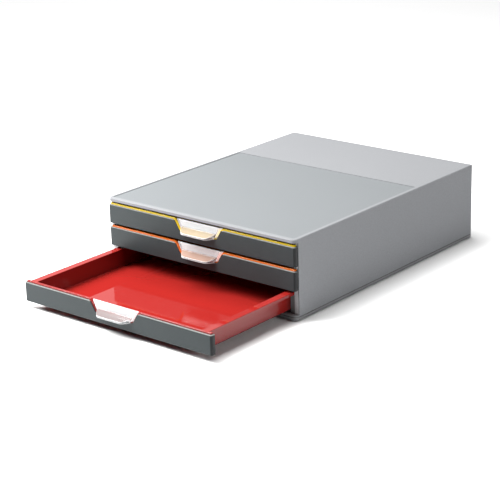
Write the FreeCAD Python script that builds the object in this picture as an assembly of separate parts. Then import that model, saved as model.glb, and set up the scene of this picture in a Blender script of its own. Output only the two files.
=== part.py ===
"""Desk-top drawer box for C4 papers: a light grey casing with three shallow sliding drawers.

Frame: millimetres, +X to the right, +Y to the back, +Z up. The origin is the centre of the
casing's footprint on the desk. Every sub-part is one named STEP file in parts/.
"""
import FreeCAD
import Part
import math
import os

Vector = FreeCAD.Vector
X_AXIS = Vector(1, 0, 0)
Y_AXIS = Vector(0, 1, 0)
Z_AXIS = Vector(0, 0, 1)

# ---- casing -----------------------------------------------------------------------------
WIDTH = 280.0            # over the side walls
DEPTH = 356.0            # from the front lip to the back edge
HEIGHT = 95.0            # from the desk to the top
CORNER_R = 6.0           # plan radius of the front corners
BACK_R = 2.0             # plan radius of the back corners
TOP_EDGE_R = 1.4         # rounding of the top's outer edges
WALL = 2.2               # side walls
CEILING = 2.6            # top plate
LIP_HEIGHT = 4.6         # front lip of the top
LIP_WALL = 2.2
LIP_EDGE_R = 0.8
SETBACK = 6.0            # the side walls' front ends stand this far behind the lip
JAMB_WIDTH = 6.5         # light strip at each side of the front opening
JAMB_THICK = 2.0
SEAM_Z = 5.5             # joint between the base and the casing
SEAM_GROOVE = 0.4        # height of the shadow groove under that joint
SEAM_GROOVE_DEPTH = 0.8
RECESS_DEPTH = 0.6       # shallow standing area in the top
RECESS_SIDE = 4.8        # its border at the sides
RECESS_FRONT = 4.6       # its border at the front
RECESS_BACK_Y = 59.0     # its back edge
RECESS_R = 1.5
TOP_RIB = 1.6            # ribs under the top plate
TOP_RIB_DROP = 1.8
TOP_RIB_YS = (-110.0, -40.0, 30.0, 100.0)

# ---- base -------------------------------------------------------------------------------
FOOT_PROUD = 1.0         # the feet lift the base off the desk
BASE_FLOOR = 2.2
BASE_EDGE_R = 1.2
BASE_LIP_TOP = 7.0
BASE_LIP_WALL = 2.0
BASE_LIP_R = 1.0
TONGUE = 1.6             # upstand inside the casing's side walls
TONGUE_TOP = 9.0
BASE_RIB = 1.4
BASE_RIB_RISE = 1.6
BASE_RIB_XS = (-80.0, 0.0, 80.0)
BASE_RIB_YS = (-90.0, 0.0, 90.0)
FOOT_R = 7.0
FOOT_HEIGHT = 1.8
FOOT_X = 113.0
FOOT_Y = 152.0
FOOT_BOSS_R = 9.5

# ---- back panel -------------------------------------------------------------------------
BACK_THICK = 2.2
BACK_INSET = 0.8         # behind the casing's back edge
BACK_FRAME = 14.0        # border round its shallow field
BACK_FIELD = 0.6

# ---- drawers ----------------------------------------------------------------------------
LEVELS = ("bottom", "middle", "top")
PULLED_OUT = {"bottom": 140.0, "middle": 0.0, "top": 0.0}
PITCH = 27.8             # from one drawer to the next
FIRST_PANEL_Z = 7.9      # lower edge of the bottom drawer's front panel
TRAVEL = 250.0           # from shut to the stop

PANEL_WIDTH = 279.0
PANEL_HEIGHT = 22.8
PANEL_THICK = 2.0
PANEL_WRAP = 5.6         # the ends turn back this far from the front face
PANEL_CORNER_R = 2.6     # plan radius where they turn
PANEL_EDGE_R = 0.6
PANEL_FLANGE = 1.0       # turned-in lower edge
FIT_GAP = 0.1            # between the panel and the tray's front plate

PLATE_THICK = 2.8        # coloured front plate of the tray
PLATE_RETURN = 2.0
PLATE_BOTTOM = 1.2       # above the panel's lower edge
RIM_TOP = 24.6           # tray rim above the panel's lower edge
TRAY_LENGTH = 346.0      # from the front face to the tray's back
TRAY_HALF = 125.2        # outer face of the side walls
TRAY_WALL = 2.0
TRAY_UNDERSIDE = 1.2      # above the panel's lower edge
TRAY_FLOOR = 1.8
TRAY_EDGE_R = 2.0         # rounding along the underside
TRAY_FLOOR_R = 1.2        # rounding between the floor and the walls
TRAY_CORNER_R = 5.0
FLANGE_HALF = 132.6      # outer edge of the sliding flange
FLANGE_THICK = 2.2
FLANGE_LIP = 1.8         # turned-down lip along the flange
FLANGE_LIP_HEIGHT = 3.4
RIM_EDGE_R = 0.4         # rounding along the rims
EAR_REACH = 1.6          # stop ear beyond the flange
EAR_LENGTH = 8.0
STOP_GAP = 0.5

# ---- grip notch and label holder --------------------------------------------------------
NOTCH_TOP_HALF = 35.4
NOTCH_BOTTOM_HALF = 27.6
NOTCH_BOTTOM = 10.1      # above the panel's lower edge
NOTCH_TOP_R = 4.0
NOTCH_BOTTOM_R = 4.5
LINING = 0.8             # coloured lining of the notch
LINING_SETBACK = 1.2
HOLDER_FRONT = 1.0       # window plane behind the panel's face
HOLDER_BACK = 4.6        # back of the window
HOLDER_GAP = 0.25        # above the lining's floor
HOLDER_TOP_HALF = 30.9   # half the window's width at its top edge
HOLDER_LOW_HALF = 24.5   # and at its bottom
HOLDER_FLARE_TOP = 3.4   # the sides slant outwards towards the back by this much
HOLDER_FLARE_LOW = 2.1
HOLDER_CORNER_R = 3.0
HOLDER_TOP_DROP = 0.2    # below the tray's rim
POCKET_FRONT = 2.2       # label pocket, behind the panel's face
POCKET_THICK = 0.8
POCKET_FLOOR = 16.3      # above the panel's lower edge
LABEL_TOP_HALF = 30.3    # label at the height of the tray's rim
LABEL_SLOPE = 0.47       # it narrows downwards
CARD_THICK = 0.4
SCOOP_HALF = 24.8        # half the scoop's width at the panel's face
SCOOP_NOSE_HALF = 18.5   # and along its lip
SCOOP_BOW = 0.5          # the lip bows forward by this much
SCOOP_CORNER_R = 7.0
SCOOP_REACH = 9.3        # in front of the panel's face
SCOOP_BACK_Z = 16.3      # finger scoop: upper edge at the window
SCOOP_FRONT_Z = 12.3     # and at its front lip
SCOOP_UNDER_Z = 10.3
SCOOP_SAG = 0.5
SCOOP_WALL = 1.4
HOOK_X = (-18.0, 18.0)
HOOK_WIDTH = 7.0
HOOK_DROP = 3.6
HOOK_THICK = 1.1

# ---- runners ----------------------------------------------------------------------------
RUNNER_INNER = 126.2     # inner face of the runner panel
RUNNER_WALL = 1.6
RUNNER_SLOT_HALF = 134.7
RUNNER_FRONT_SETBACK = 8.2
RUNNER_END_GAP = 1.5
RUNNER_UNDER_GAP = 0.3   # flange lip above its ledge
RUNNER_OVER_GAP = 0.7    # slot above the flange
RUNNER_FOOT_REACH = 8.0
RUNNER_TOP_GAP = 0.2

FRONT_Y = -DEPTH / 2
BACK_Y = DEPTH / 2
JAMB_Y = FRONT_Y + SETBACK
INNER_HALF = WIDTH / 2 - WALL
CEILING_Z = HEIGHT - CEILING
LIP_BOTTOM_Z = HEIGHT - LIP_HEIGHT
BASE_FLOOR_Z = FOOT_PROUD + BASE_FLOOR
BACK_FACE_Y = BACK_Y - BACK_INSET
BACK_INNER_Y = BACK_FACE_Y - BACK_THICK
NOTCH_SLOPE = (NOTCH_TOP_HALF - NOTCH_BOTTOM_HALF) / (PANEL_HEIGHT - NOTCH_BOTTOM)


# ---- helpers ----------------------------------------------------------------------------
def box(x0, x1, y0, y1, z0, z1):
    """A box between two corners, given in any order."""
    low = Vector(min(x0, x1), min(y0, y1), min(z0, z1))
    return Part.makeBox(abs(x1 - x0), abs(y1 - y0), abs(z1 - z0), low)


def fuse(first, *others):
    """One clean solid from touching or overlapping ones."""
    return first.multiFuse(list(others)).removeSplitter()


def unit(u, v):
    """The 2-D direction of (u, v)."""
    length = math.hypot(u, v)
    return u / length, v / length


def rounded_wire(points, radii, place):
    """A closed wire through 2-D points with each corner rounded, placed in space by place(u, v)."""
    count = len(points)
    starts, arcs = [], []
    for i, (u, v) in enumerate(points):
        before, after = points[i - 1], points[(i + 1) % count]
        if radii[i] == 0:
            starts.append((place(u, v), place(u, v)))
            arcs.append(None)
            continue
        a = unit(before[0] - u, before[1] - v)
        b = unit(after[0] - u, after[1] - v)
        half = math.acos(max(-1.0, min(1.0, a[0] * b[0] + a[1] * b[1]))) / 2
        run = radii[i] / math.tan(half)
        middle = unit(a[0] + b[0], a[1] + b[1])
        reach = radii[i] / math.sin(half) - radii[i]
        first = place(u + a[0] * run, v + a[1] * run)
        crown = place(u + middle[0] * reach, v + middle[1] * reach)
        last = place(u + b[0] * run, v + b[1] * run)
        starts.append((first, last))
        arcs.append(Part.Arc(first, crown, last).toShape())
    edges = []
    for i in range(count):
        if arcs[i] is not None:
            edges.append(arcs[i])
        here, there = starts[i][1], starts[(i + 1) % count][0]
        if here.distanceToPoint(there) > 1e-6:
            edges.append(Part.LineSegment(here, there).toShape())
    return Part.Wire(edges)


def plan_block(half_width, y0, y1, z0, z1, front_r=0.0, back_r=0.0):
    """A block with rounded vertical corners, y0 being its front."""
    points = [(-half_width, y0), (half_width, y0), (half_width, y1), (-half_width, y1)]
    radii = [front_r, front_r, back_r, back_r]
    wire = rounded_wire(points, radii, lambda u, v: Vector(u, v, z0))
    return Part.Face(wire).extrude(Z_AXIS * (z1 - z0))


def front_prism(points, radii, y0, y1):
    """An outline in X and Z, carried from y0 to y1."""
    wire = rounded_wire(points, radii, lambda u, v: Vector(u, y0, v))
    return Part.Face(wire).extrude(Y_AXIS * (y1 - y0))


def side_prism(points, radii, x0, x1):
    """An outline in Y and Z, carried from x0 to x1."""
    wire = rounded_wire(points, radii, lambda u, v: Vector(x0, u, v))
    return Part.Face(wire).extrude(X_AXIS * (x1 - x0))


def edges_at(shape, low, high):
    """The edges that lie wholly inside a box between two corners."""
    inside = FreeCAD.BoundBox(*low, *high)
    return [e for e in shape.Edges if inside.isInside(e.BoundBox)]


def fillet_at(shape, radius, low, high):
    """Round the edges that lie inside a box."""
    return shape.makeFillet(radius, edges_at(shape, low, high))


# ---- casing -----------------------------------------------------------------------------
def casing_shell():
    """Top plate, front lip and both side walls, in one moulding open below and behind."""
    half = WIDTH / 2
    body = plan_block(half, FRONT_Y, BACK_Y, SEAM_Z, HEIGHT, CORNER_R, BACK_R)
    body = fillet_at(body, TOP_EDGE_R, (-200, -200, HEIGHT - 0.01), (200, 200, HEIGHT + 0.01))
    body = body.cut(box(-200, 200, FRONT_Y - 5, JAMB_Y, 0, LIP_BOTTOM_Z))
    body = fillet_at(
        body,
        LIP_EDGE_R,
        (-200, FRONT_Y - 1, LIP_BOTTOM_Z - 0.01),
        (200, JAMB_Y - 0.1, LIP_BOTTOM_Z + 0.01),
    )
    jamb_half = half - JAMB_WIDTH
    cavity = box(-INNER_HALF, INNER_HALF, JAMB_Y + JAMB_THICK, BACK_Y + 5, 0, CEILING_Z)
    mouth = box(-jamb_half, jamb_half, FRONT_Y + LIP_WALL, JAMB_Y + JAMB_THICK + 1, 0, CEILING_Z)
    recess = plan_block(
        half - RECESS_SIDE,
        FRONT_Y + RECESS_FRONT,
        RECESS_BACK_Y,
        HEIGHT - RECESS_DEPTH,
        HEIGHT + 1,
        RECESS_R,
        RECESS_R,
    )
    body = body.cut(cavity).cut(mouth).cut(recess)
    for y in TOP_RIB_YS:
        body = body.fuse(top_rib(y))
    return body.removeSplitter()


def top_rib(y):
    """A low rib across the underside of the top plate, between the runner panels."""
    reach = RUNNER_INNER - 1.0
    return box(-reach, reach, y, y + TOP_RIB, CEILING_Z - TOP_RIB_DROP, CEILING_Z + 0.5)


def back_panel():
    """Flat back with a shallow field, set between the side walls and standing on the base."""
    half = INNER_HALF - 0.2
    low, high = SEAM_Z + 0.1, CEILING_Z - 0.2
    panel = box(-half, half, BACK_INNER_Y, BACK_FACE_Y, low, high)
    field = front_prism(
        [
            (-half + BACK_FRAME, low + BACK_FRAME),
            (half - BACK_FRAME, low + BACK_FRAME),
            (half - BACK_FRAME, high - BACK_FRAME),
            (-half + BACK_FRAME, high - BACK_FRAME),
        ],
        [4.0] * 4,
        BACK_FACE_Y - BACK_FIELD,
        BACK_FACE_Y + 1,
    )
    return panel.cut(field)


def base_tray():
    """Shallow base with a front ledge, an upstand inside the casing, ribs and foot seats."""
    half = WIDTH / 2
    skirt = plan_block(half, FRONT_Y, BACK_Y, FOOT_PROUD, SEAM_Z, CORNER_R, BACK_R)
    skirt = fillet_at(
        skirt, BASE_EDGE_R, (-200, -200, FOOT_PROUD - 0.01), (200, 200, FOOT_PROUD + 0.01)
    )
    ledge = plan_block(half, FRONT_Y, BACK_Y, BASE_FLOOR_Z, BASE_LIP_TOP, CORNER_R)
    ledge = fillet_at(
        ledge, BASE_LIP_R, (-200, -200, BASE_LIP_TOP - 0.01), (200, 200, BASE_LIP_TOP + 0.01)
    )
    ledge = ledge.common(box(-200, 200, FRONT_Y - 1, JAMB_Y - 0.2, 0, 50))
    body = skirt.fuse(ledge).cut(seam_groove())
    inner = INNER_HALF - 0.2
    body = body.cut(box(-inner, inner, JAMB_Y - 0.2, BACK_INNER_Y + 0.5, BASE_FLOOR_Z, 50))
    under_ledge = box(
        -inner + 4, inner - 4, FRONT_Y + BASE_LIP_WALL, JAMB_Y, BASE_FLOOR_Z, BASE_LIP_TOP - 1.8
    )
    body = body.cut(under_ledge)
    extras = [foot_boss(x, y) for x in (-FOOT_X, FOOT_X) for y in (-FOOT_Y, FOOT_Y)]
    for x in (-inner + TONGUE / 2, inner - TONGUE / 2):
        extras.append(
            box(
                x - TONGUE / 2,
                x + TONGUE / 2,
                JAMB_Y + JAMB_THICK + 4.0,
                BACK_INNER_Y - 1,
                FOOT_PROUD + 1,
                TONGUE_TOP,
            )
        )
    extras.append(
        box(-120, 120, BACK_INNER_Y - 2.2, BACK_INNER_Y - 0.4, FOOT_PROUD + 1, TONGUE_TOP)
    )
    rib_top = BASE_FLOOR_Z + BASE_RIB_RISE
    for x in BASE_RIB_XS:
        extras.append(box(x, x + BASE_RIB, JAMB_Y, BACK_INNER_Y - 1, FOOT_PROUD + 1, rib_top))
    for y in BASE_RIB_YS:
        extras.append(box(-120, 120, y, y + BASE_RIB, FOOT_PROUD + 1, rib_top))
    body = fuse(body, *extras)
    for x in (-FOOT_X, FOOT_X):
        for y in (-FOOT_Y, FOOT_Y):
            body = body.cut(foot_seat(x, y))
    return body.removeSplitter()


def seam_groove():
    """Narrow groove round the sides and the back, just under the joint with the casing."""
    half = WIDTH / 2
    depth = SEAM_GROOVE_DEPTH
    front = JAMB_Y - 0.2
    low = SEAM_Z - SEAM_GROOVE
    outer = box(-half - 5, half + 5, front, BACK_Y + 5, low, SEAM_Z + 3)
    kept = plan_block(
        half - depth, front - 5, BACK_Y - depth, low - 1, SEAM_Z + 4, 0, BACK_R - depth
    )
    return outer.cut(kept)


def foot_boss(x, y):
    """Thickened pad above a foot seat."""
    return Part.makeCylinder(FOOT_BOSS_R, 2.0, Vector(x, y, FOOT_PROUD + 1))


def foot_seat(x, y):
    """Round recess that a foot is glued into."""
    return Part.makeCylinder(FOOT_R + 0.1, FOOT_HEIGHT - FOOT_PROUD, Vector(x, y, FOOT_PROUD))


def foot(x, y):
    """Rubber disc with a softened standing edge."""
    disc = Part.makeCylinder(FOOT_R, FOOT_HEIGHT, Vector(x, y, 0))
    return fillet_at(disc, 0.4, (x - 20, y - 20, -0.01), (x + 20, y + 20, 0.01))


# ---- runners ----------------------------------------------------------------------------
def panel_z(level):
    """Lower edge of a drawer's front panel."""
    return FIRST_PANEL_Z + LEVELS.index(level) * PITCH


def runner_panel(side):
    """Folded inner wall with a slot for each drawer's flange; side is -1 left, +1 right."""
    y0 = FRONT_Y + RUNNER_FRONT_SETBACK
    y1 = BACK_INNER_Y - RUNNER_END_GAP
    inner, slot, wall = side * RUNNER_INNER, side * RUNNER_SLOT_HALF, RUNNER_WALL
    web_outer = side * (RUNNER_INNER + wall)
    slot_outer = side * (RUNNER_SLOT_HALF + wall)
    low = BASE_FLOOR_Z
    pieces = [box(inner, inner + side * RUNNER_FOOT_REACH, y0, y1, low, low + wall)]
    for level in LEVELS:
        rim = panel_z(level) + RIM_TOP
        ledge = rim - FLANGE_LIP_HEIGHT - RUNNER_UNDER_GAP
        roof = rim + RUNNER_OVER_GAP
        pieces.append(box(inner, web_outer, y0, y1, low, ledge))
        pieces.append(box(inner, slot_outer, y0, y0 + wall, low, ledge))
        pieces.append(box(inner, slot_outer, y0, y1, ledge - wall, ledge))
        pieces.append(box(slot, slot_outer, y0, y1, ledge - wall, roof + wall))
        pieces.append(box(inner, slot_outer, y0, y1, roof, roof + wall))
        low = roof
    top = CEILING_Z - RUNNER_TOP_GAP
    pieces.append(box(inner, web_outer, y0, y1, low, top))
    return fuse(*pieces)


# ---- drawers ----------------------------------------------------------------------------
def front_y(level):
    """Front face of a drawer at rest."""
    return FRONT_Y - PULLED_OUT[level]


def notch_prism(level, y0, y1, inset, top):
    """The grip notch's opening, made smaller by inset, with its mouth at height top."""
    z = panel_z(level)
    bottom = NOTCH_BOTTOM + inset
    side = inset * math.hypot(1.0, NOTCH_SLOPE)
    bottom_half = NOTCH_BOTTOM_HALF + NOTCH_SLOPE * inset - side
    top_half = NOTCH_BOTTOM_HALF + NOTCH_SLOPE * (top - NOTCH_BOTTOM) - side
    wide = NOTCH_TOP_HALF + 12
    points = [
        (-wide, z + top + 6),
        (-wide, z + top),
        (-top_half, z + top),
        (-bottom_half, z + bottom),
        (bottom_half, z + bottom),
        (top_half, z + top),
        (wide, z + top),
        (wide, z + top + 6),
    ]
    corner = NOTCH_BOTTOM_R - inset
    radii = [0, 0, NOTCH_TOP_R, corner, corner, NOTCH_TOP_R, 0, 0]
    return front_prism(points, radii, y0, y1)


def front_panel(level):
    """Dark front with ends turned back, a turned-in lower edge and the grip notch."""
    y, z = front_y(level), panel_z(level)
    half = PANEL_WIDTH / 2
    top = z + PANEL_HEIGHT
    body = plan_block(half, y, y + 20, z, top, PANEL_CORNER_R)
    for edge_z in (z, top):
        body = fillet_at(
            body, PANEL_EDGE_R, (-200, y - 1, edge_z - 0.01), (200, y + 21, edge_z + 0.01)
        )
    body = body.common(box(-200, 200, y - 1, y + PANEL_WRAP, z - 1, top + 1))
    hollow = plan_block(
        half - PANEL_THICK,
        y + PANEL_THICK,
        y + PANEL_WRAP + 1,
        z + PANEL_FLANGE,
        top + 1,
        PANEL_CORNER_R - PANEL_THICK,
    )
    body = body.cut(hollow)
    notch = notch_prism(level, y - 1, y + PANEL_WRAP + 2, 0.0, PANEL_HEIGHT)
    return body.cut(notch).removeSplitter()


def tray(level):
    """Coloured drawer tray: front plate, open box, sliding flanges and stop ears."""
    y, z = front_y(level), panel_z(level)
    rim = z + RIM_TOP
    body = fuse(front_plate(level), tray_box(y, z, rim), *tray_flanges(y, rim))
    lining = notch_lining(level)
    body = body.cut(notch_prism(level, y - 1, y + 12, LINING, RIM_TOP))
    body = fuse(body, lining)
    return round_rims(body, y, rim)


def round_rims(body, y, rim):
    """Soften the tray's inner rim and the outer edges of its flanges."""
    inside = TRAY_HALF - TRAY_WALL + 0.1
    front = y + PANEL_THICK + FIT_GAP + PLATE_THICK - 0.01
    back = y + TRAY_LENGTH - TRAY_WALL + 0.1
    low, high = rim - 0.01, rim + 0.01
    body = fillet_at(body, RIM_EDGE_R, (-inside, front, low), (inside, back, high))
    for edge_x in (-FLANGE_HALF, FLANGE_HALF):
        body = fillet_at(
            body, RIM_EDGE_R, (edge_x - 0.01, y, low), (edge_x + 0.01, y + 400, high)
        )
    return body


def front_plate(level):
    """The tray's front wall, with ends turned back inside the panel's ends."""
    y, z = front_y(level), panel_z(level)
    half = PANEL_WIDTH / 2 - PANEL_THICK - 2 * FIT_GAP
    plate_y = y + PANEL_THICK + FIT_GAP
    plate = plan_block(
        half, plate_y, y + 20, z + PLATE_BOTTOM, z + RIM_TOP, PANEL_CORNER_R - PANEL_THICK
    )
    plate = fillet_at(
        plate, RIM_EDGE_R, (-200, y, z + RIM_TOP - 0.01), (200, y + 21, z + RIM_TOP + 0.01)
    )
    plate = plate.common(box(-200, 200, y, y + PANEL_WRAP, z, z + 50))
    behind = plan_block(
        half - PLATE_RETURN,
        plate_y + PLATE_THICK,
        y + PANEL_WRAP + 1,
        z,
        z + RIM_TOP + 1,
        1.0,
    )
    return plate.cut(behind)


def tray_box(y, z, rim):
    """The open box behind the front plate."""
    front = y + PANEL_THICK + FIT_GAP + PLATE_THICK
    back = y + TRAY_LENGTH
    outer = plan_block(TRAY_HALF, front - 1, back, z + TRAY_UNDERSIDE, rim, 0, TRAY_CORNER_R)
    under = z + TRAY_UNDERSIDE
    outer = fillet_at(
        outer, TRAY_EDGE_R, (-200, front - 2, under - 0.01), (200, back + 1, under + 0.01)
    )
    inner = plan_block(
        TRAY_HALF - TRAY_WALL,
        front,
        back - TRAY_WALL,
        under + TRAY_FLOOR,
        rim + 5,
        1.6,
        TRAY_CORNER_R - TRAY_WALL,
    )
    inner = fillet_at(
        inner,
        TRAY_FLOOR_R,
        (-200, front - 1, under + TRAY_FLOOR - 0.01),
        (200, back + 1, under + TRAY_FLOOR + 0.01),
    )
    return outer.cut(inner)


def tray_flanges(y, rim):
    """The two flanges that slide in the runners, each with a turned-down lip and a stop ear."""
    front = y + PANEL_THICK + FIT_GAP + PLATE_THICK - 0.5
    back = y + TRAY_LENGTH
    ear_front = front_stop_offset() + y
    flanges = []
    for side in (-1, 1):
        inner = side * (TRAY_HALF - 0.5)
        outer = side * FLANGE_HALF
        lip_inner = side * (FLANGE_HALF - FLANGE_LIP)
        plate = box(inner, outer, front, back, rim - FLANGE_THICK, rim)
        lip = box(lip_inner, outer, front, back, rim - FLANGE_LIP_HEIGHT, rim)
        flange = fuse(plate, lip)
        ear = box(
            side * (FLANGE_HALF - 1),
            side * (FLANGE_HALF + EAR_REACH),
            ear_front,
            ear_front + EAR_LENGTH,
            rim - FLANGE_LIP_HEIGHT,
            rim - 1.0,
        )
        flanges.append(fuse(flange, ear))
    return flanges


def front_stop_offset():
    """From a drawer's front face back to the front of its ear, which meets the jamb's back."""
    return SETBACK + JAMB_THICK + STOP_GAP + TRAVEL


def notch_lining(level):
    """Thin coloured edge that stands forward inside the panel's notch."""
    y = front_y(level)
    y0, y1 = y + LINING_SETBACK, y + PANEL_THICK + FIT_GAP + 0.5
    outer = notch_prism(level, y0, y1, FIT_GAP, PANEL_HEIGHT)
    inner = notch_prism(level, y0 - 1, y1 + 1, LINING, RIM_TOP)
    top = panel_z(level) + PANEL_HEIGHT
    return outer.cut(inner).cut(box(-200, 200, y0 - 1, y1 + 1, top, top + 50))


# ---- label holders ----------------------------------------------------------------------
def holder_wire(level, y, flare):
    """The holder's outline in the plane y; flare is 0 at the window and 1 at the back."""
    z = panel_z(level)
    low = NOTCH_BOTTOM + LINING + HOLDER_GAP
    high = RIM_TOP - HOLDER_TOP_DROP
    wide = HOLDER_TOP_HALF + flare * HOLDER_FLARE_TOP
    narrow = HOLDER_LOW_HALF + flare * HOLDER_FLARE_LOW
    points = [(-wide, z + high), (-narrow, z + low), (narrow, z + low), (wide, z + high)]
    radii = [0, HOLDER_CORNER_R, HOLDER_CORNER_R, 0]
    return rounded_wire(points, radii, lambda u, v: Vector(u, y, v))


def pocket_prism(level, low, high, clearance, y0, y1):
    """The label's outline less a clearance, carried from y0 to y1."""
    z = panel_z(level)
    wide = LABEL_TOP_HALF - clearance + LABEL_SLOPE * (high - RIM_TOP)
    narrow = LABEL_TOP_HALF - clearance + LABEL_SLOPE * (low - RIM_TOP)
    points = [(-wide, z + high), (-narrow, z + low), (narrow, z + low), (wide, z + high)]
    return front_prism(points, [0] * 4, y0, y1)


def label_holder(level):
    """Clear bevelled window with a pocket for the label, a finger scoop and two hooks."""
    y = front_y(level)
    front = holder_wire(level, y + HOLDER_FRONT, 0)
    back = holder_wire(level, y + HOLDER_BACK, 1)
    window = Part.makeLoft([front, back], True, True)
    pocket = pocket_prism(
        level, POCKET_FLOOR, RIM_TOP + 1, 0, y + POCKET_FRONT, y + POCKET_FRONT + POCKET_THICK
    )
    hooks = [holder_hook(level, x) for x in HOOK_X]
    return fuse(window.cut(pocket), finger_scoop(level), *hooks)


def finger_scoop(level):
    """Thumb ledge that bulges out below the window and slopes down to its lip."""
    y, z = front_y(level), panel_z(level)
    neck = Part.Face(holder_wire(level, y - FIT_GAP, 0))
    neck = neck.extrude(Y_AXIS * (HOLDER_FRONT + FIT_GAP + 0.2))
    neck = neck.common(scoop_wedge(y, z, 0.0))
    bulge = scoop_wedge(y, z, 0.0).common(scoop_plan(y, z, 0.0))
    hollow = scoop_wedge(y, z, SCOOP_WALL).common(scoop_plan(y, z, SCOOP_WALL))
    return fuse(bulge, neck).cut(hollow)


def scoop_wedge(y, z, inset):
    """The scoop's side profile, or that of its hollow, carried across its full width."""
    back = y + HOLDER_FRONT + 0.2
    lip = y - SCOOP_REACH
    under = z + SCOOP_UNDER_Z - (2.0 if inset > 0 else 0.0)
    roof_back = z + SCOOP_BACK_Z - inset
    roof_lip = z + SCOOP_FRONT_Z - inset
    points = [
        Vector(0, back, roof_back),
        Vector(0, lip, roof_lip),
        Vector(0, lip, under),
        Vector(0, back, under),
    ]
    sag = Vector(0, (back + lip) / 2, (roof_back + roof_lip) / 2 - SCOOP_SAG)
    edges = [Part.Arc(points[0], sag, points[1]).toShape()]
    edges += [Part.LineSegment(points[i], points[(i + 1) % 4]).toShape() for i in (1, 2, 3)]
    profile = Part.Face(Part.Wire(edges))
    profile.translate(X_AXIS * -SCOOP_HALF)
    return profile.extrude(X_AXIS * 2 * SCOOP_HALF)


def scoop_plan(y, z, inset):
    """The bow of the scoop seen from above, in front of the panel's face."""
    back = y - FIT_GAP
    lip = y - SCOOP_REACH + inset
    half = SCOOP_HALF - 1.25 * inset
    nose = SCOOP_NOSE_HALF - 0.5 * inset
    points = [(half, back), (-half, back), (-nose, lip + SCOOP_BOW), (0, lip), (nose, lip + SCOOP_BOW)]
    corner = SCOOP_CORNER_R - inset
    wire = rounded_wire(points, [0, 0, corner, 0, corner], lambda u, v: Vector(u, v, z))
    return Part.Face(wire).extrude(Z_AXIS * 30)


def holder_hook(level, x):
    """Hook that grips the tray's front plate from behind."""
    y, z = front_y(level), panel_z(level)
    window_back = y + HOLDER_BACK
    plate_back = y + PANEL_THICK + FIT_GAP + PLATE_THICK
    sill = z + NOTCH_BOTTOM + LINING + HOLDER_GAP
    left, right = x - HOOK_WIDTH / 2, x + HOOK_WIDTH / 2
    bridge = box(left, right, window_back - 0.5, plate_back + FIT_GAP + HOOK_THICK, sill, sill + 1.2)
    leg = box(
        left,
        right,
        plate_back + FIT_GAP,
        plate_back + FIT_GAP + HOOK_THICK,
        sill - HOOK_DROP,
        sill + 1.2,
    )
    return fuse(bridge, leg)


def label_card(level):
    """Paper label standing in the holder's pocket."""
    y0 = front_y(level) + POCKET_FRONT + (POCKET_THICK - CARD_THICK) / 2
    high = RIM_TOP - HOLDER_TOP_DROP - 0.2
    return pocket_prism(level, POCKET_FLOOR + 0.05, high, 0.3, y0, y0 + CARD_THICK)


# ---- all sub-parts ----------------------------------------------------------------------
def build():
    """Every sub-part by node name, at rest."""
    parts = {
        "casing_shell": casing_shell(),
        "back_panel": back_panel(),
        "base_tray": base_tray(),
        "runner_panel_left": runner_panel(-1),
        "runner_panel_right": runner_panel(1),
    }
    for y_name, y in (("front", -FOOT_Y), ("back", FOOT_Y)):
        for x_name, x in (("left", -FOOT_X), ("right", FOOT_X)):
            parts[f"foot_{y_name}_{x_name}"] = foot(x, y)
    for level in LEVELS:
        parts[f"tray_{level}"] = tray(level)
        parts[f"front_panel_{level}"] = front_panel(level)
        parts[f"label_holder_{level}"] = label_holder(level)
        parts[f"label_card_{level}"] = label_card(level)
    return parts


os.makedirs("parts", exist_ok=True)
for name, shape in build().items():
    solids = shape.Solids
    print(f"{name}: {len(solids)} solid, valid {shape.isValid()}, {shape.Volume / 1000:.1f} cm3")
    shape = solids[0] if len(solids) == 1 else shape
    shape.exportStep(f"parts/{name}.step")
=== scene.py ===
"""Finishes, clear label holders, labels, studio and camera for a desk-top drawer box.

Everything is in metres, in the drawer box's own frame: +X to the right, +Y to the back, +Z up,
with the origin at the centre of the casing's footprint on the desk.
"""

import math

import bmesh
import bpy
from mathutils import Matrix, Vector


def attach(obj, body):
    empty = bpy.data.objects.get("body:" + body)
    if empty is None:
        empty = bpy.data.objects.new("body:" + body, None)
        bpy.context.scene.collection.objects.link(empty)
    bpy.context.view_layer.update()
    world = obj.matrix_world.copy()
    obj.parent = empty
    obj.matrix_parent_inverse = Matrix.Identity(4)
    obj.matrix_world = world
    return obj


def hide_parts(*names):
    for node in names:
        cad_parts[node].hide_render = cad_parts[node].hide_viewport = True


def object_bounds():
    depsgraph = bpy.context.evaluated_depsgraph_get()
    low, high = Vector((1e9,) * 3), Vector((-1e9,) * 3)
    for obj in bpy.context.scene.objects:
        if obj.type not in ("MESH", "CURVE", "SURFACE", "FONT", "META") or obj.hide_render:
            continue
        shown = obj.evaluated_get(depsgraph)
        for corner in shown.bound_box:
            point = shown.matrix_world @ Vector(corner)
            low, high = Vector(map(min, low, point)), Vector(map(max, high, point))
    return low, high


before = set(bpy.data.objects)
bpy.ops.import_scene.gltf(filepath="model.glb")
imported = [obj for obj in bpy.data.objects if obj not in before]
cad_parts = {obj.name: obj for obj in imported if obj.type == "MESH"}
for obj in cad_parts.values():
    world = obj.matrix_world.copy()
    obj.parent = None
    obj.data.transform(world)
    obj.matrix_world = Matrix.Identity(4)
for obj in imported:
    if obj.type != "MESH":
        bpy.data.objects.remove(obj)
CAD_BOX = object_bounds()

bl_info = {
    "name": "Drawer Box Dresser",
    "version": (1, 0, 0),
    "blender": (4, 5, 0),
    "location": "3D View > Sidebar > Drawer Box",
    "description": "Dresses a packed desk-top drawer box with moulded-plastic finishes and a studio",
    "category": "Object",
}

LEVELS = ("bottom", "middle", "top")
CASING_TOP = CAD_BOX[1][2]

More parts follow.
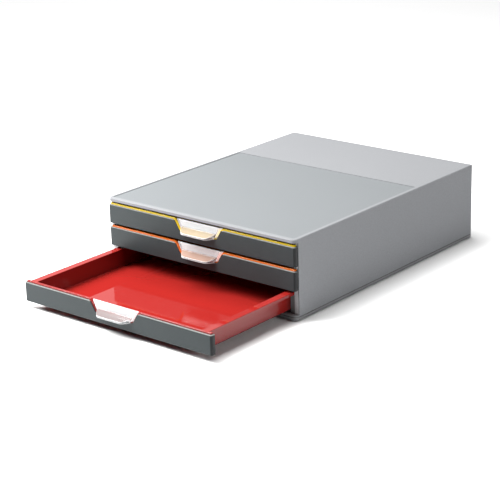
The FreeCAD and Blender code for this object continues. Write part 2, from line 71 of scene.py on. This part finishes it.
# Where the casing's finishes change, and where light and shade are painted on it.
PAD_HALF_WIDTH = 0.1352              # standing area on the top
PAD_FRONT = -0.1734
PAD_BACK = 0.059
PAD_LOW = CASING_TOP - 0.0007        # the pad's floor lies between these heights
PAD_HIGH = CASING_TOP - 0.0003
TOP_LOW = CASING_TOP - 0.0006        # the top's border is above this height; the top's darker tone is painted shade
JAMB_INNER = 0.13                    # strip at each side of the front opening, painted lighter as light
JAMB_OUTER = 0.1385
JAMB_FRONT = -0.1725
JAMB_BACK = -0.1695
JAMB_TOP = 0.09
GROOVE_SHADE = (0.0048, 0.0056)            # groove between the base and the casing, painted dark as shade

# Where the drawers' finishes change, and where shade and a highlight are painted on the panels.
PANEL_END = 0.1374                   # a panel turns back beyond this half width; its ends are painted dark as shade
DRAWER_PITCH = 0.0278
LOWEST_EDGE = 0.0301                 # lower end of the bottom panel's rounded upper edge, which is painted lighter as a highlight
EDGE_HEIGHT = 0.0008

# Where the label holders' finishes change.
SCOOP_REACH = 0.0093                 # from a panel's face to the lip of its finger scoop
SCOOP_ROOT = 0.0012                  # and from that face back to where the scoop begins
CLEAR, EDGE, LEDGE, BEVEL = range(4)     # a holder's material slots

# Studio lamps: the setting that holds the power, the width, and the place.
LAMPS = (
    ("key", 0.6, (-0.45, -0.55, 1.1)),
    ("overhead", 1.4, (-0.3, 0.0, 2.4)),
    ("front", 0.4, (-0.6, -0.65, 0.7)),
    ("side", 0.8, (1.5, 0.0, 0.6)),
    ("rim", 1.2, (-1.5, 1.6, 1.4)),
)
FAR_FLOOR_LIGHT = (1.0, 6.0)               # the floor is painted lighter between these squared distances, as light where the lamps fall off


# ---- node materials ---------------------------------------------------------------------
class Value:
    """A number socket that Python expressions can use; each operator adds one Math node."""

    def __init__(self, finish, socket):
        self.finish = finish
        self.socket = socket

    def _math(self, operation, first, second):
        node = self.finish.node("ShaderNodeMath", {"operation": operation}, {0: first, 1: second})
        return Value(self.finish, node.outputs[0])

    def __add__(self, other):
        return self._math("ADD", self, other)

    def __radd__(self, other):
        return self._math("ADD", other, self)

    def __sub__(self, other):
        return self._math("SUBTRACT", self, other)

    def __rsub__(self, other):
        return self._math("SUBTRACT", other, self)

    def __mul__(self, other):
        return self._math("MULTIPLY", self, other)

    def __rmul__(self, other):
        return self._math("MULTIPLY", other, self)

    def __gt__(self, other):
        return self._math("GREATER_THAN", self, other)

    def __lt__(self, other):
        return self._math("LESS_THAN", self, other)

    def __abs__(self):
        return self._math("ABSOLUTE", self, 0.0)


class Finish:
    """A node material for one moulded or printed surface."""

    def __init__(self, name):
        self.material = bpy.data.materials.new(name)
        self.material.use_nodes = True
        self.tree = self.material.node_tree
        self.tree.nodes.clear()
        self.place = self.node("ShaderNodeTexCoord").outputs["Object"]

    def node(self, kind, settings=None, sockets=None):
        """One node: its settings are made first, then its sockets get values or links."""
        node = self.tree.nodes.new(kind)
        for key, setting in (settings or {}).items():
            setattr(node, key, setting)
        for key, content in (sockets or {}).items():
            source = content.socket if isinstance(content, Value) else content
            if isinstance(source, bpy.types.NodeSocket):
                self.tree.links.new(source, node.inputs[key])
            else:
                node.inputs[key].default_value = source
        return node

    def xyz(self):
        """The object's X, Y and Z at the shaded point, in metres."""
        split = self.node("ShaderNodeSeparateXYZ", sockets={0: self.place})
        return [Value(self, out) for out in split.outputs]

    def noise(self, size, detail=2.0, stretch=(1, 1, 1)):
        """Soft noise from 0 to 1 whose blotches are about size metres across."""
        scaled = self.node(
            "ShaderNodeMapping", {"vector_type": "POINT"}, {"Vector": self.place, "Scale": stretch}
        )
        noise = self.node(
            "ShaderNodeTexNoise",
            {"noise_dimensions": "3D"},
            {"Vector": scaled.outputs[0], "Scale": 1.0 / size, "Detail": detail},
        )
        return Value(self, noise.outputs["Fac"])

    def ramp(self, value, low, high):
        """0 below low, 1 above high, smooth between."""
        node = self.node(
            "ShaderNodeMapRange",
            {"interpolation_type": "SMOOTHSTEP", "clamp": True},
            {"Value": value, "From Min": low, "From Max": high},
        )
        return Value(self, node.outputs["Result"])

    def mix(self, factor, first, second):
        """A colour between two colours."""
        node = self.node(
            "ShaderNodeMix", {"data_type": "RGBA"}, {"Factor": factor, 6: first, 7: second}
        )
        return node.outputs[2]

    def bump(self, height, distance, strength=1.0):
        """A normal that follows a height from 0 to 1, distance metres deep."""
        node = self.node(
            "ShaderNodeBump", {}, {"Height": height, "Distance": distance, "Strength": strength}
        )
        return node.outputs[0]

    def surface(self, **sockets):
        """The plastic shader with its sockets given by name, and the material's output."""
        named = {key.replace("_", " "): content for key, content in sockets.items()}
        shader = self.node("ShaderNodeBsdfPrincipled", sockets=named)
        self.node("ShaderNodeOutputMaterial", sockets={"Surface": shader.outputs[0]})
        return self.material


def between(value, low, high):
    """1 where a value lies between two others, and 0 elsewhere."""
    return (value > low) * (value < high)


def rgba(colour, factor=1.0):
    """A colour property as four numbers, made lighter or darker by a factor."""
    return tuple(min(1.0, channel * factor) for channel in colour[:3]) + (1.0,)


def paint(node_name, material):
    """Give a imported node's object one material on all its slots."""
    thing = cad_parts[node_name]
    if not thing.material_slots:
        thing.data.materials.append(material)
    for slot in thing.material_slots:
        slot.material = material


def grained_plastic(name, colour, grain, gloss, sheen=0.5, patches=()):
    """Matt moulded plastic with an eroded grain; each patch is a mask and its own colour."""
    cloud_size, darker, lighter = 0.12, 0.975, 1.025
    pit_shade, pit_tone, pit_depth = 0.16, 0.4, 0.00007
    finish = Finish(name)
    cloud = finish.noise(cloud_size, 3.0)
    speck = finish.noise(grain, 2.0)
    fine = finish.noise(grain * 0.35, 1.0)
    tone = finish.mix(cloud, rgba(colour, darker), rgba(colour, lighter))
    for mask, patch_colour in patches:
        other = finish.mix(cloud, rgba(patch_colour, darker), rgba(patch_colour, lighter))
        tone = finish.mix(mask(finish), tone, other)
    pits = finish.ramp(speck, 0.35, 0.62)
    tone = finish.mix(pit_shade - pit_shade * pits, tone, rgba(colour, pit_tone))
    return finish.surface(
        Base_Color=tone,
        Roughness=(1 - gloss) + 0.08 * (speck - 0.5) + 0.05 * (cloud - 0.5),
        Specular_IOR_Level=sheen,
        Normal=finish.bump(pits * 0.7 + fine * 0.3, pit_depth, 0.8),
    )


def polished_plastic(name, colour, gloss):
    """Glossy moulded plastic with faint flow lines and fine handling marks."""
    cloud_size, flow_size, mark_size, wave_depth = 0.15, 0.06, 0.0016, 0.00004
    finish = Finish(name)
    cloud = finish.noise(cloud_size, 2.0)
    flow = finish.noise(flow_size, 2.0, (0.35, 1.0, 1.0))
    marks = finish.noise(mark_size, 3.0, (1.0, 0.15, 1.0))
    return finish.surface(
        Base_Color=finish.mix(cloud, rgba(colour, 0.95), rgba(colour, 1.05)),
        Roughness=(1 - gloss) + 0.03 * finish.ramp(marks, 0.6, 0.85) + 0.01 * (cloud - 0.5),
        Specular_IOR_Level=0.33,
        Normal=finish.bump(flow * 0.9 + marks * 0.01, wave_depth, 0.3),
    )


def see_through(name, colour, veil, gloss, sheen=0.5, lift=1.0, glow=0.0):
    """Clear plastic: a veil over what lies behind it, thicker at grazing angles as a painted
    reflection, and an emitted glow painted where it pipes light.
    """
    wave_size, scuff_size, wave_depth = 0.012, 0.0012, 0.00006
    finish = Finish(name)
    waves = finish.noise(wave_size, 2.0)
    scuffs = finish.noise(scuff_size, 3.0, (0.3, 1.0, 1.0))
    rim = finish.node("ShaderNodeLayerWeight", sockets={"Blend": 0.25})
    edge = Value(finish, rim.outputs["Fresnel"])
    tone = finish.mix(waves, rgba(colour), rgba(colour, lift))
    return finish.surface(
        Base_Color=tone,
        Roughness=(1 - gloss) + 0.08 * finish.ramp(scuffs, 0.55, 0.8),
        Specular_IOR_Level=sheen,
        # The emission is painted light: a glow standing in for light piped through the plastic.
        Emission_Color=tone,
        Emission_Strength=glow,
        # The Fresnel term thickens the whitish veil at grazing angles as a painted reflection.
        Alpha=veil + 0.5 * edge + 0.06 * (waves - 0.5),
        Normal=finish.bump(waves, wave_depth, 0.3),
    )


def label_paper(name, colour):
    """Uncoated paper with fine fibres."""
    fibre_size, fibre_depth = 0.0004, 0.00003
    finish = Finish(name)
    fibre = finish.noise(fibre_size, 4.0, (1.0, 1.0, 0.4))
    return finish.surface(
        Base_Color=finish.mix(fibre, rgba(colour, 0.97), rgba(colour)),
        Roughness=0.85 + 0.1 * fibre,
        Normal=finish.bump(fibre, fibre_depth, 0.4),
    )


def floor_paper(name, near_colour, far_light_colour):
    """A plain sheet painted lighter away from the drawer box, as light where the lamps fall off."""
    finish = Finish(name)
    cloud = finish.noise(0.8, 1.0)
    tone = finish.mix(cloud, rgba(near_colour, 0.99), rgba(near_colour, 1.01))
    x, y, _ = finish.xyz()
    far = finish.ramp(x * x + y * y, *FAR_FLOOR_LIGHT)
    return finish.surface(Base_Color=finish.mix(far, tone, rgba(far_light_colour)), Roughness=0.9)


# ---- sizes and colours ------------------------------------------------------------------
def colour_property(name, description, default):
    """A colour that the panel shows as a swatch."""
    return bpy.props.FloatVectorProperty(
        name=name, description=description, subtype="COLOR", size=3, min=0, max=1, default=default
    )


def length_property(name, description, default):
    """A length in metres."""
    return bpy.props.FloatProperty(
        name=name, description=description, unit="LENGTH", min=0, precision=5, default=default
    )


def power_property(name, description, default):
    """A lamp's power in watts."""
    return bpy.props.FloatProperty(
        name=name, description=description, subtype="POWER", min=0, default=default
    )


class CasingSettings(bpy.types.PropertyGroup):
    """The light grey casing, its base, runners and feet."""

    # Sides and top are one plastic: the casing colour is set lighter on the sides as painted light,
    # and the top's colours darker as painted shade.
    shell_colour: colour_property("Casing", "Colour of the casing", (0.182, 0.187, 0.196))
    top_colour: colour_property("Top", "Colour of the top's border", (0.136, 0.139, 0.144))
    # The jambs' colour is painted light: the casing's plastic made lighter where the recess gets
    # little light.
    jamb_light_colour: colour_property("Jambs", "Colour of the front strips", (0.4, 0.405, 0.415))
    pad_colour: colour_property(
        "Standing area", "Colour of the finer-grained area on the top", (0.105, 0.1115, 0.115)
    )
    base_colour: colour_property("Base", "Colour of the base", (0.15, 0.154, 0.158))
    runner_colour: colour_property("Runners", "Colour of the runners", (0.15, 0.155, 0.16))
    # The feet's colour is also painted into the base's groove as shade.
    foot_colour: colour_property("Feet", "Colour of the rubber feet", (0.03, 0.03, 0.03))
    grain: length_property("Grain", "Width of one grain of the casing's texture", 0.0011)


class DrawerSettings(bpy.types.PropertyGroup):
    """Trays and front panels."""

    bottom_colour: colour_property("Bottom tray", "Colour of the bottom tray", (0.162, 0.0085, 0.007))
    middle_colour: colour_property("Middle tray", "Colour of the middle tray", (0.52, 0.105, 0.009))
    top_colour: colour_property("Top tray", "Colour of the top tray", (0.52, 0.36, 0.013))
    tray_gloss: bpy.props.FloatProperty(
        name="Tray gloss", description="1 is a mirror", subtype="FACTOR", default=0.98
    )
    panel_colour: colour_property("Front panels", "Colour of the fronts", (0.0225, 0.029, 0.0305))
    # The turned-back ends are painted near black as shade.
    end_shade_colour: colour_property("Panel ends", "Colour of the turned-back ends", (0.006, 0.007, 0.008))
    # The panels' upper edges are painted lighter as a highlight.
    edge_highlight_colour: colour_property("Panel edges", "Colour of the upper edges", (0.11, 0.115, 0.11))
    panel_grain: length_property("Panel grain", "Width of one grain on the fronts", 0.0006)


class HolderSettings(bpy.types.PropertyGroup):
    """Clear label holders and their labels."""

    clear_colour: colour_property("Clear plastic", "Colour of the holders", (0.7, 0.72, 0.73))
    # Painted highlight: the near-white colour of the holders' rounded edges and slanting sides.
    edge_highlight_colour: colour_property("Clear edges", "Colour of the bevels and edges", (0.9, 0.9, 0.9))
    # The labels are one white card; their tones are painted light and shade: the middle one lighter
    # in the top's shade, the bottom one darker where more light falls.
    bottom_label: colour_property("Bottom label", "Colour of the bottom label", (0.66, 0.69, 0.7))
    middle_label: colour_property("Middle label", "Colour of the middle label", (0.9, 0.93, 0.93))
    top_label: colour_property("Top label", "Colour of the top label", (0.8, 0.83, 0.83))
    # A painted glow on the window's slanting sides; no lamp is there.
    bevel_painted_glow: bpy.props.FloatProperty(
        name="Bevel glow", description="Light piped out of the window's slanting sides", default=0.45
    )
    edge_radius: length_property("Edge rounding", "Rounding of the holders' edges", 0.0004)
    # The scoops are one clear plastic: each tint paints in light coming through from the tray behind,
    # and the bottom one is darker as painted shade where more light falls.
    bottom_scoop: colour_property("Bottom scoop", "Scoop's tint over red", (0.095, 0.07, 0.068))
    middle_scoop: colour_property("Middle scoop", "Scoop's tint over orange", (0.2, 0.12, 0.088))
    top_scoop: colour_property("Top scoop", "Scoop's tint over yellow", (0.175, 0.135, 0.08))


class StageSettings(bpy.types.PropertyGroup):
    """Floor, light and camera."""

    floor_size: length_property("Floor", "Width of the floor", 14.0)
    floor_colour: colour_property("Floor colour", "Colour of the floor", (0.57, 0.57, 0.57))
    # The far floor's colour is painted light.
    far_light_colour: colour_property("Far floor", "Colour of the floor's far part", (0.97, 0.97, 0.97))
    sky: bpy.props.FloatProperty(
        name="Sky", description="Strength of the even surrounding light", min=0, default=0.03
    )
    key: power_property("Key lamp", "Power of the near lamp above the front left", 38)
    overhead: power_property("Overhead lamp", "Power of the large lamp above", 115)
    front: power_property("Front lamp", "Power of the lamp at the front left", 17)
    side: power_property("Side lamp", "Power of the low lamp at the right", 12)
    rim: power_property("Rim lamp", "Power of the lamp at the back left", 4)
    camera_place: bpy.props.FloatVectorProperty(
        name="Camera", description="Where the camera stands", unit="LENGTH", size=3,
        default=(1.15929, -1.46621, 0.6523),
    )
    camera_turn: bpy.props.FloatVectorProperty(
        name="Camera turn", description="Pitch, roll and heading of the camera",
        subtype="EULER", size=3, default=(1.238463, 0.02695, 0.689514),
    )
    focal: bpy.props.FloatProperty(
        name="Focal length", description="On a 36 mm wide sensor, in millimetres", default=116.37
    )


# ---- operators --------------------------------------------------------------------------
class DRAWERBOX_OT_casing(bpy.types.Operator):
    """Give the casing and the back panel their grained grey plastic"""

    bl_idname = "drawerbox.casing"
    bl_label = "Finish the casing"

    def execute(self, context):
        look = context.scene.drawerbox_casing

        def top_shade_mask(finish):
            _, _, z = finish.xyz()
            return z > TOP_LOW

        def pad_mask(finish):
            x, y, z = finish.xyz()
            inside = (abs(x) < PAD_HALF_WIDTH) * between(y, PAD_FRONT, PAD_BACK)
            return inside * between(z, PAD_LOW, PAD_HIGH)

        # The jambs' patch is painted light.
        def jamb_light_mask(finish):
            x, y, z = finish.xyz()
            strip = between(abs(x), JAMB_INNER, JAMB_OUTER)
            return strip * between(y, JAMB_FRONT, JAMB_BACK) * (z < JAMB_TOP)

        # The top's border and pad take darker colours than the sides as painted shade; the pad is
        # darker still for its finer grain.
        patches = (
            (top_shade_mask, look.top_colour),
            (pad_mask, look.pad_colour),
            (jamb_light_mask, look.jamb_light_colour),
        )
        shell = grained_plastic(
            "casing_plastic", look.shell_colour, look.grain, gloss=0.45, sheen=0.08, patches=patches
        )
        paint("casing_shell", shell)
        back = grained_plastic("back_plastic", look.shell_colour, look.grain, gloss=0.4)
        paint("back_panel", back)
        return {"FINISHED"}


class DRAWERBOX_OT_base(bpy.types.Operator):
    """Give the base, the runner panels and the feet their finishes"""

    bl_idname = "drawerbox.base"
    bl_label = "Finish the base"

    def execute(self, context):
        look = context.scene.drawerbox_casing

        def groove_shade_mask(finish):
            _, _, z = finish.xyz()
            return between(z, *GROOVE_SHADE)

        # The groove is painted with the feet's near-black colour as shade.
        patches = ((groove_shade_mask, look.foot_colour),)
        base = grained_plastic(
            "base_plastic", look.base_colour, look.grain, gloss=0.4, sheen=0.35, patches=patches
        )
        paint("base_tray", base)
        runner = polished_plastic("runner_plastic", look.runner_colour, gloss=0.6)
        for side in ("left", "right"):
            paint(f"runner_panel_{side}", runner)
        rubber = grained_plastic("foot_rubber", look.foot_colour, look.grain * 0.6, gloss=0.15)
        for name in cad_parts:
            if name.startswith("foot_"):
                paint(name, rubber)
        return {"FINISHED"}


class DRAWERBOX_OT_drawers(bpy.types.Operator):
    """Give the trays their glossy colours and the fronts their dark satin"""

    bl_idname = "drawerbox.drawers"
    bl_label = "Finish the drawers"

    def execute(self, context):
        look = context.scene.drawerbox_drawer

        def end_shade_mask(finish):
            x, _, _ = finish.xyz()
            return abs(x) > PANEL_END

        def edge_highlight_mask(finish):
            _, _, z = finish.xyz()
            edges = [LOWEST_EDGE + DRAWER_PITCH * i for i in range(len(LEVELS))]
            return sum(between(z, low, low + EDGE_HEIGHT) for low in edges)

        # Painted shade on the panels' ends and a painted highlight on their upper edges.
        patches = ((end_shade_mask, look.end_shade_colour), (edge_highlight_mask, look.edge_highlight_colour))
        satin = grained_plastic(
            "panel_satin", look.panel_colour, look.panel_grain, gloss=0.62, sheen=0.2, patches=patches
        )
        for level in LEVELS:
            colour = getattr(look, f"{level}_colour")
            paint(f"tray_{level}", polished_plastic(f"tray_{level}_gloss", colour, look.tray_gloss))
            paint(f"front_panel_{level}", satin)
        return {"FINISHED"}


class DRAWERBOX_OT_holders(bpy.types.Operator):
    """Make the clear label holders with softened edges that carry a painted highlight"""

    bl_idname = "drawerbox.holders"
    bl_label = "Make the label holders"

    def execute(self, context):
        look = context.scene.drawerbox_holder
        clear = see_through("clear_plastic", look.clear_colour, veil=0.16, gloss=0.93)
        # Rounded edges are painted near white and nearly opaque as highlights; the slanting sides
        # also glow as painted light.
        edge = see_through("clear_edge", look.edge_highlight_colour, veil=0.85, gloss=0.85)
        bevel = see_through(
            "clear_bevel", look.edge_highlight_colour, veil=0.85, gloss=0.85, glow=look.bevel_painted_glow
        )
        for level in LEVELS:
            # Each scoop's tint is painted light and shade, set per level.
            tint = getattr(look, f"{level}_scoop")
            ledge = see_through(f"scoop_{level}", tint, veil=0.75, gloss=0.6, sheen=0.2, lift=1.15)
            node_name = f"label_holder_{level}"
            holder = self.softened_copy(context, node_name, look.edge_radius)
            for material in (clear, edge, ledge, bevel):
                holder.data.materials.append(material)
            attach(holder, f"drawer_{level}")
            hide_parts(node_name)
        return {"FINISHED"}

    def softened_copy(self, context, node_name, radius):
        """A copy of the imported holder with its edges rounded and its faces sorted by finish."""
        sharp_angle = 0.5
        shape = bmesh.new()
        shape.from_mesh(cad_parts[node_name].data)
        bmesh.ops.remove_doubles(shape, verts=shape.verts[:], dist=1e-6)
        bmesh.ops.dissolve_limit(
            shape, angle_limit=math.radians(1), verts=shape.verts[:], edges=shape.edges[:]
        )
        sharp = [e for e in shape.edges if e.is_manifold and e.calc_face_angle() > sharp_angle]
        rounded = bmesh.ops.bevel(
            shape,
            geom=sharp,
            offset=radius,
            offset_type="OFFSET",
            affect="EDGES",
            segments=2,
            profile=0.5,
            clamp_overlap=True,
            material=-1,
        )["faces"]
        bmesh.ops.recalc_face_normals(shape, faces=shape.faces[:])
        self.sort_faces(shape, rounded)
        mesh = bpy.data.meshes.new(f"{node_name}_soft")
        shape.to_mesh(mesh)
        shape.free()
        holder = bpy.data.objects.new(f"{node_name}_soft", mesh)
        context.scene.collection.objects.link(holder)
        return holder

    @staticmethod
    def sort_faces(shape, rounded):
        """The scoop's ledge, the window's slanting sides and the rounded edges get their slots."""
        upward, slanting = 0.5, 0.3
        window = min(v.co.y for v in shape.verts) + SCOOP_REACH + SCOOP_ROOT
        for face in shape.faces:
            face.material_index = CLEAR
            in_scoop = face.calc_center_median().y < window
            if in_scoop and face.normal.z > upward:
                face.material_index = LEDGE
            elif not in_scoop and abs(face.normal.x) > slanting and face.normal.y < -slanting:
                face.material_index = BEVEL
        for face in rounded:
            if face.is_valid and face.material_index != BEVEL:
                face.material_index = EDGE


class DRAWERBOX_OT_labels(bpy.types.Operator):
    """Give the label cards their uncoated white paper"""

    bl_idname = "drawerbox.labels"
    bl_label = "Finish the labels"

    def execute(self, context):
        look = context.scene.drawerbox_holder
        for level in LEVELS:
            # Each label's tone is set per level as painted light and shade.
            colour = getattr(look, f"{level}_label")
            paint(f"label_card_{level}", label_paper(f"label_paper_{level}", colour))
        return {"FINISHED"}


class DRAWERBOX_OT_stage(bpy.types.Operator):
    """Set up the pale floor, the soft studio light and the camera"""

    bl_idname = "drawerbox.stage"
    bl_label = "Set up the studio"

    def execute(self, context):
        look = context.scene.drawerbox_stage
        self.make_floor(context, look)
        self.make_light(context, look)
        self.make_camera(context, look)
        return {"FINISHED"}

    def make_floor(self, context, look):
        """A wide plain sheet at desk height."""
        mesh = bpy.data.meshes.new("floor")
        sheet = bmesh.new()
        bmesh.ops.create_grid(sheet, x_segments=2, y_segments=2, size=look.floor_size / 2)
        sheet.to_mesh(mesh)
        sheet.free()
        mesh.materials.append(floor_paper("floor_paper", look.floor_colour, look.far_light_colour))
        floor = bpy.data.objects.new("floor", mesh)
        context.scene.collection.objects.link(floor)

    def make_light(self, context, look):
        """A dim even sky and the soft lamps."""
        world = bpy.data.worlds.new("studio")
        world.use_nodes = True
        background = world.node_tree.nodes["Background"]
        background.inputs["Color"].default_value = (1, 1, 1, 1)
        background.inputs["Strength"].default_value = look.sky
        context.scene.world = world
        for name, width, place in LAMPS:
            self.add_lamp(context, name, getattr(look, name), width, Vector(place))
        context.scene.view_settings.view_transform = "Standard"

    @staticmethod
    def add_lamp(context, name, power, width, place):
        """A square soft lamp that faces the drawer box."""
        data = bpy.data.lights.new(name, "AREA")
        data.energy = power
        data.size = width
        lamp = bpy.data.objects.new(name, data)
        lamp.location = place
        lamp.rotation_euler = (-place).to_track_quat("-Z", "Y").to_euler()
        lamp.visible_camera = False
        context.scene.collection.objects.link(lamp)

    def make_camera(self, context, look):
        """A long lens from the front right, a little above."""
        data = bpy.data.cameras.new("camera")
        data.sensor_width = 36
        data.lens = look.focal
        data.clip_end = 50
        camera = bpy.data.objects.new("camera", data)
        camera.location = look.camera_place
        camera.rotation_euler = look.camera_turn
        context.scene.collection.objects.link(camera)
        context.scene.camera = camera


class DRAWERBOX_PT_sidebar(bpy.types.Panel):
    """Lists the settings and the steps"""

    bl_label = "Drawer Box"
    bl_idname = "DRAWERBOX_PT_sidebar"
    bl_space_type = "VIEW_3D"
    bl_region_type = "UI"
    bl_category = "Drawer Box"

    def draw(self, context):
        for settings, steps in SECTIONS:
            group = getattr(context.scene, settings)
            box = self.layout.box()
            for key in group.__annotations__:
                box.prop(group, key)
            for step in steps:
                box.operator(step.bl_idname)


SETTINGS = {
    "drawerbox_casing": CasingSettings,
    "drawerbox_drawer": DrawerSettings,
    "drawerbox_holder": HolderSettings,
    "drawerbox_stage": StageSettings,
}
SECTIONS = (
    ("drawerbox_casing", (DRAWERBOX_OT_casing, DRAWERBOX_OT_base)),
    ("drawerbox_drawer", (DRAWERBOX_OT_drawers,)),
    ("drawerbox_holder", (DRAWERBOX_OT_holders, DRAWERBOX_OT_labels)),
    ("drawerbox_stage", (DRAWERBOX_OT_stage,)),
)
STEPS = tuple(step for _, steps in SECTIONS for step in steps)


def register():
    """Make the settings, steps and panel known to Blender."""
    for kind in (*SETTINGS.values(), *STEPS, DRAWERBOX_PT_sidebar):
        bpy.utils.register_class(kind)
    for name, kind in SETTINGS.items():
        setattr(bpy.types.Scene, name, bpy.props.PointerProperty(type=kind))


def unregister():
    """Take them out again."""
    for name in SETTINGS:
        delattr(bpy.types.Scene, name)
    for kind in (DRAWERBOX_PT_sidebar, *reversed(STEPS), *SETTINGS.values()):
        bpy.utils.unregister_class(kind)


def main():
    """Dress the drawer box."""
    register()
    for step in STEPS:
        getattr(bpy.ops.drawerbox, step.bl_idname.split(".")[1])()


if __name__ == "__main__":
    main()
